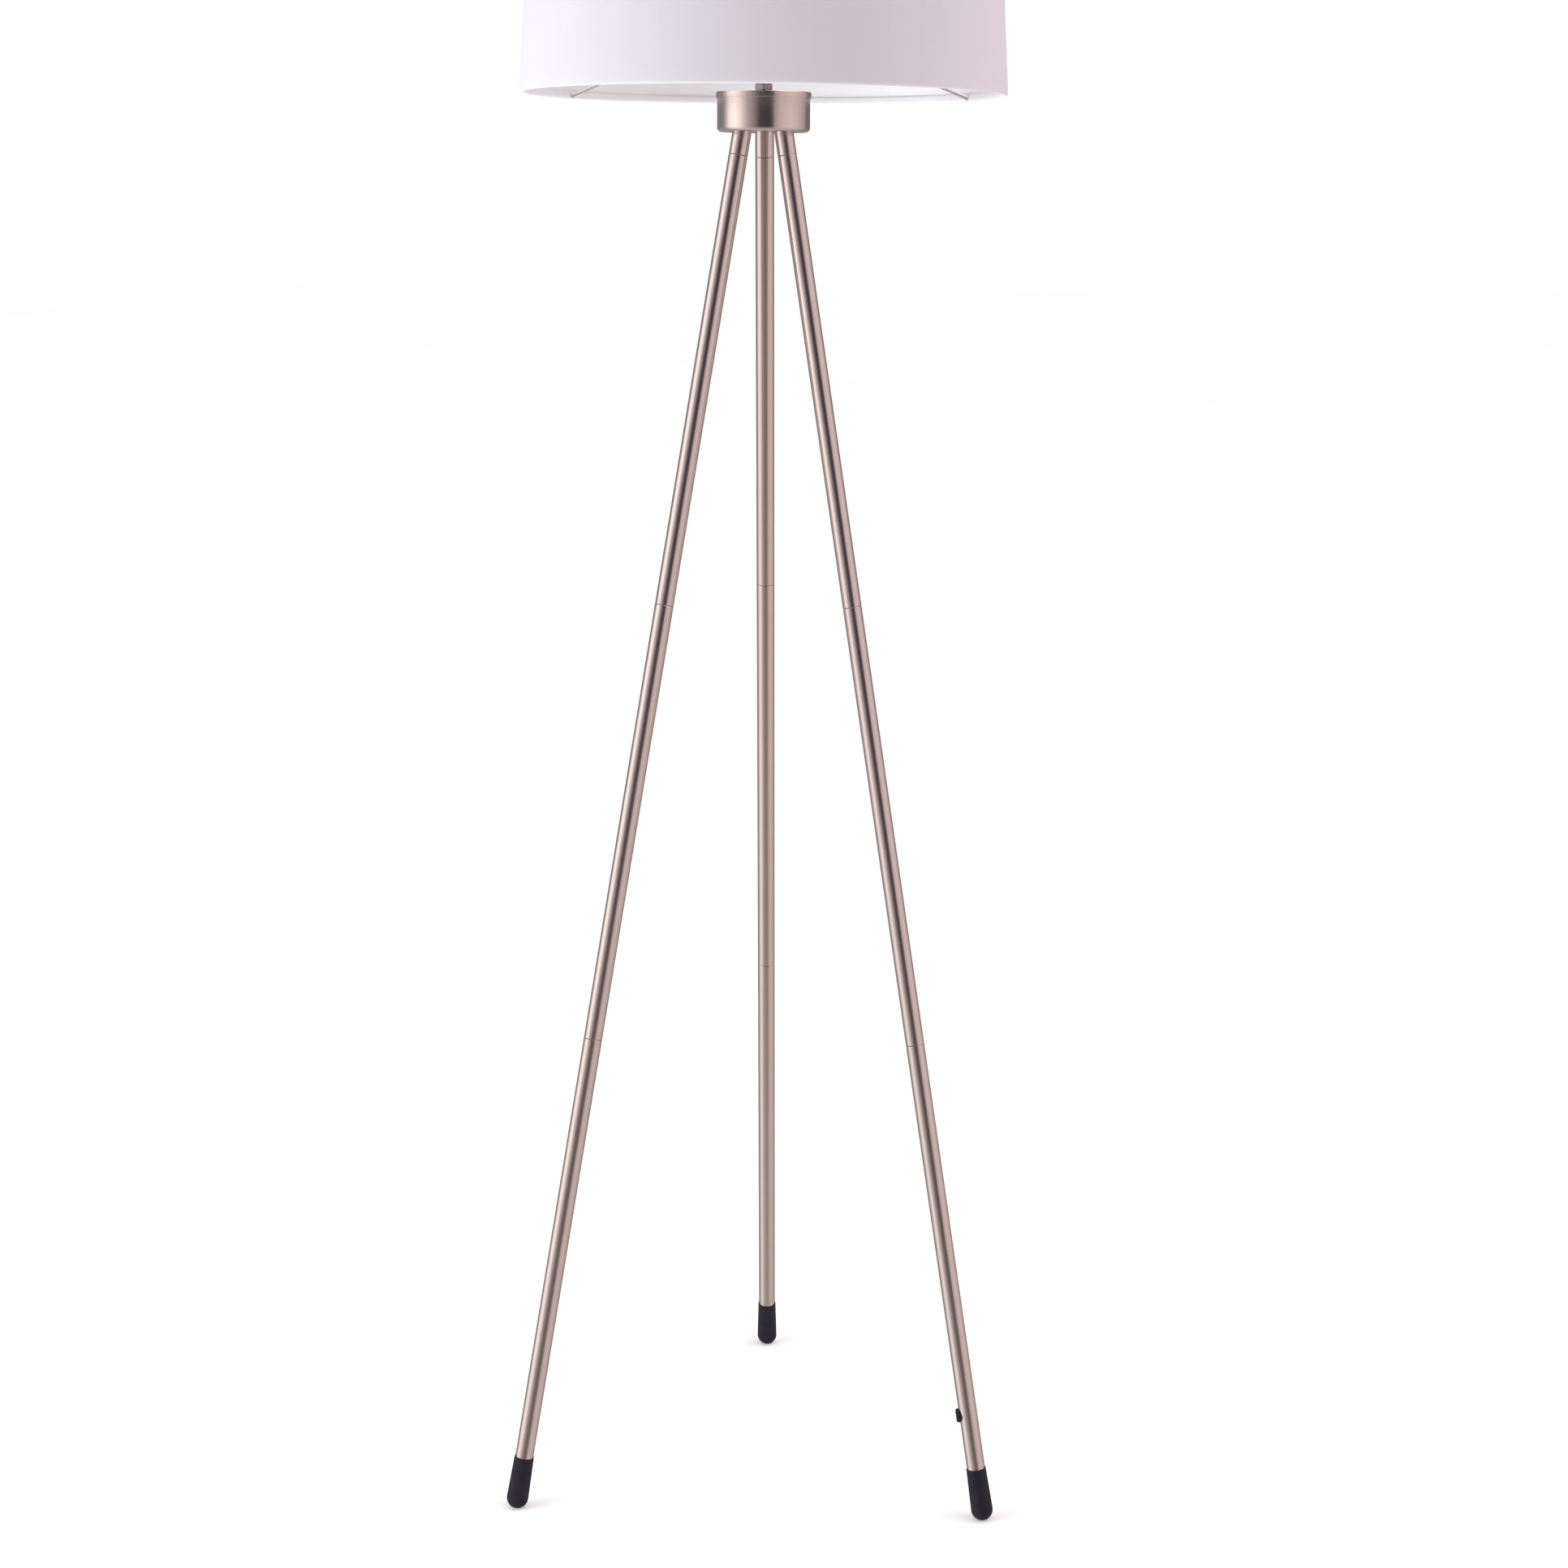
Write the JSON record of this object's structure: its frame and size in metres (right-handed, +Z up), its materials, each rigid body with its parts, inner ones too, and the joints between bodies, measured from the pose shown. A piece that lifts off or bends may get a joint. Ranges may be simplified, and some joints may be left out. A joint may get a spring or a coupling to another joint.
{
  "type": "tripod floor lamp",
  "caption": "Floor lamp on three straight splayed tube legs with rubber tips, a round metal hub, and a slightly tapered drum shade around a screw-in bulb.",
  "frame": {"origin": "on the floor, at the centre of the whole lamp's footprint; the lamp's own upright axis stands 21.1 mm from it towards -Y", "axes": "+Z up along the lamp's axis, +Y towards the rear leg, +X towards the leg that carries the cord grommet"},
  "size_m": [0.427, 0.4482, 1.4765],
  "materials": {
    "brushed_nickel": "fine brushing round the tubes and the hub, satin",
    "zinc_plated_steel": "bright zinc plating",
    "die_cast": "as cast, matt",
    "rubber": "matt moulded",
    "brass": "rolled, semi-bright",
    "phenolic": "satin moulded",
    "bulb_cap_metal": "rolled, bright",
    "frosted_glass": "frosted inside",
    "shade_cloth": "fine plain weave, off-white",
    "shade_liner": "smooth, slightly satin",
    "plated_wire": "bright plating on steel wire and ring"
  },
  "bodies": {
    "stand": {"rear_leg_stub": "brushed_nickel", "rear_leg_upper_stud": "zinc_plated_steel", "rear_leg_upper_tube": "brushed_nickel", "rear_leg_upper_insert": "zinc_plated_steel", "rear_leg_middle_stud": "zinc_plated_steel", "rear_leg_middle_tube": "brushed_nickel", "rear_leg_middle_insert": "zinc_plated_steel", "rear_leg_lower_stud": "zinc_plated_steel", "rear_leg_lower_tube": "brushed_nickel", "rear_leg_foot_tip": "rubber", "left_leg_stub": "brushed_nickel", "left_leg_upper_stud": "zinc_plated_steel", "left_leg_upper_tube": "brushed_nickel", "left_leg_upper_insert": "zinc_plated_steel", "left_leg_middle_stud": "zinc_plated_steel", "left_leg_middle_tube": "brushed_nickel", "left_leg_middle_insert": "zinc_plated_steel", "left_leg_lower_stud": "zinc_plated_steel", "left_leg_lower_tube": "brushed_nickel", "left_leg_foot_tip": "rubber", "right_leg_stub": "brushed_nickel", "right_leg_upper_stud": "zinc_plated_steel", "right_leg_upper_tube": "brushed_nickel", "right_leg_upper_insert": "zinc_plated_steel", "right_leg_middle_stud": "zinc_plated_steel", "right_leg_middle_tube": "brushed_nickel", "right_leg_middle_insert": "zinc_plated_steel", "right_leg_lower_stud": "zinc_plated_steel", "right_leg_lower_tube": "brushed_nickel", "right_leg_foot_tip": "rubber", "cord_grommet": "rubber", "hub_cup": "brushed_nickel", "hub_core": "die_cast", "hub_cover": "brushed_nickel", "lamp_pipe": "zinc_plated_steel", "pipe_jam_nut": "zinc_plated_steel", "cover_washer": "brushed_nickel", "cover_nut": "zinc_plated_steel", "socket_cap": "brass", "socket_body": "phenolic", "socket_screw_shell": "brass", "socket_centre_contact": "brass"},
    "shade": {"shade_fabric": "shade_cloth", "shade_liner": "shade_liner", "shade_top_wire": "plated_wire", "shade_bottom_wire": "plated_wire", "shade_fitter_ring": "plated_wire", "shade_spoke_front": "plated_wire", "shade_spoke_rear_left": "plated_wire", "shade_spoke_rear_right": "plated_wire"},
    "ring_nut": {"shade_ring_nut": "phenolic"},
    "switch": {"switch_knob": "phenolic", "switch_shaft": "brass", "switch_rotor": "phenolic"},
    "bulb": {"bulb_glass": "frosted_glass", "bulb_cap": "bulb_cap_metal", "bulb_contact": "brass"}
  },
  "joints": [
    {"name": "shade_swivel", "type": "hinge", "parent": "stand", "child": "shade", "pos_m": [0, -0.0211, 1.2742], "axis": [0, 0, 1], "continuous": true},
    {"name": "ring_nut_lift", "type": "slide", "parent": "stand", "child": "ring_nut", "axis": [0, 0, 1], "range_m": [0, 0.014]},
    {"name": "switch_turn", "type": "hinge", "parent": "stand", "child": "switch", "pos_m": [0, -0.0211, 1.2548], "axis": [1, 0, 0], "continuous": true},
    {"name": "bulb_lift", "type": "slide", "parent": "stand", "child": "bulb", "axis": [0, 0, 1], "range_m": [0, 0.03]}
  ]
}
